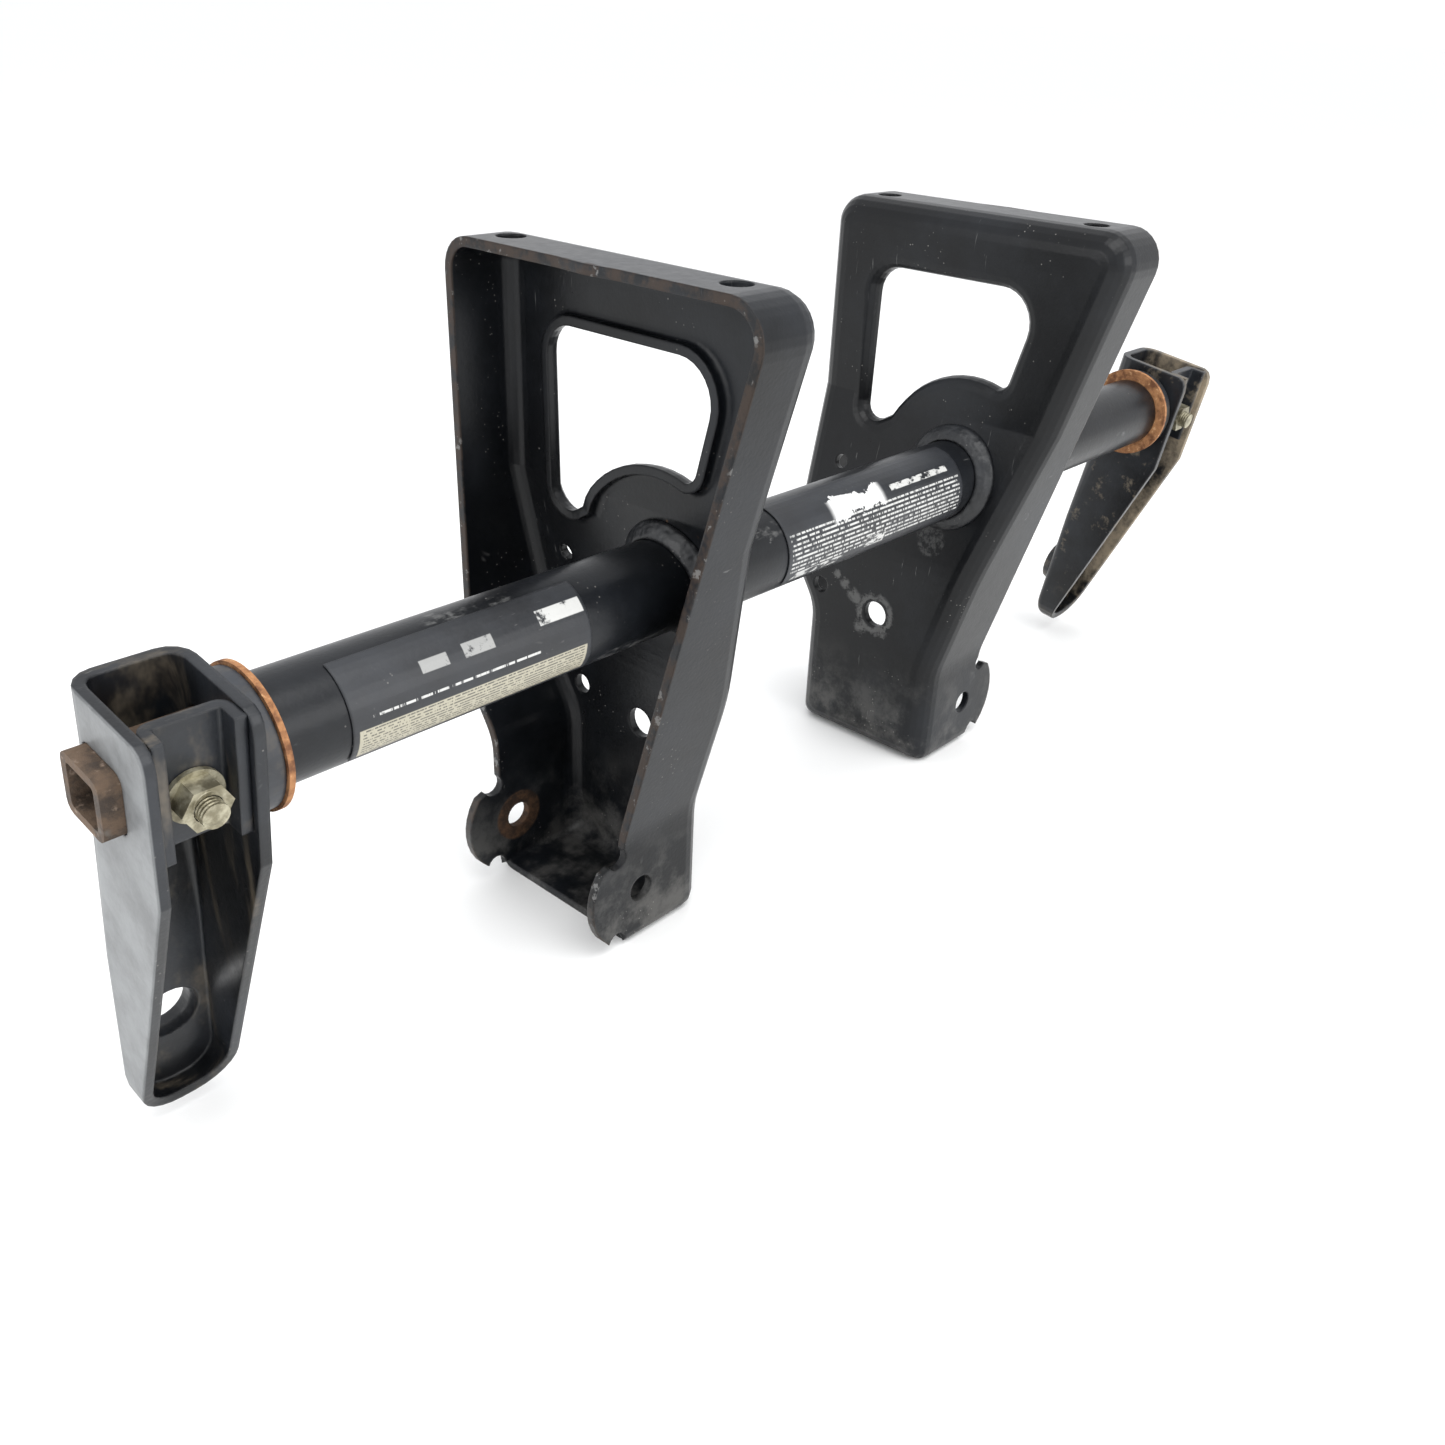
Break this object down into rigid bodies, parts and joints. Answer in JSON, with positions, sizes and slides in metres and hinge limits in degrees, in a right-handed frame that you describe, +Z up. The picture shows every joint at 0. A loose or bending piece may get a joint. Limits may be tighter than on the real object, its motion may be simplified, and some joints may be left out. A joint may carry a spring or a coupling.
{
  "type": "torsion bar stabiliser assembly",
  "caption": "Torsion bar stabiliser: a square bar turns inside a round tube welded through pressed steel brackets, with a bolted channel arm at each end.",
  "frame": {"origin": "under the middle of the assembly, on the plane of the two brackets' bottom flanges", "axes": "+X along the pivot tube to the right arm, +Y to the back, +Z up"},
  "size_m": [0.626, 0.1493, 0.2625],
  "materials": {
    "black_paint": "semi-gloss black powder coat",
    "arm_paint": "satin black paint, dusty",
    "weld_paint": "black paint over a weld bead",
    "bar_steel": "bare steel with brown rust",
    "bushing_plastic": "black moulded plastic",
    "rusted_steel": "orange rust",
    "zinc": "dull zinc plating, dirty",
    "label_film": "black self-adhesive film"
  },
  "bodies": {
    "frame": {"pivot_tube": "black_paint", "outer_label": "label_film", "centre_label": "label_film", "left_bracket": "black_paint", "left_weld_inboard": "weld_paint", "left_weld_outboard": "weld_paint", "left_washer": "rusted_steel", "right_bracket": "black_paint", "right_weld_inboard": "weld_paint", "right_weld_outboard": "weld_paint", "right_washer": "rusted_steel"},
    "bar": {"torsion_bar": "bar_steel", "left_bushing": "bushing_plastic", "left_arm": "arm_paint", "left_saddle": "arm_paint", "left_clamp_bolt": "zinc", "left_flange_nut": "zinc", "right_bushing": "bushing_plastic", "right_arm": "arm_paint", "right_saddle": "arm_paint", "right_clamp_bolt": "zinc", "right_flange_nut": "zinc"}
  },
  "joints": [
    {"name": "bar_turn", "type": "hinge", "parent": "frame", "child": "bar", "pos_m": [0, -0.0094, 0.1485], "axis": [1, 0, 0], "range_deg": [-45, 27]}
  ]
}
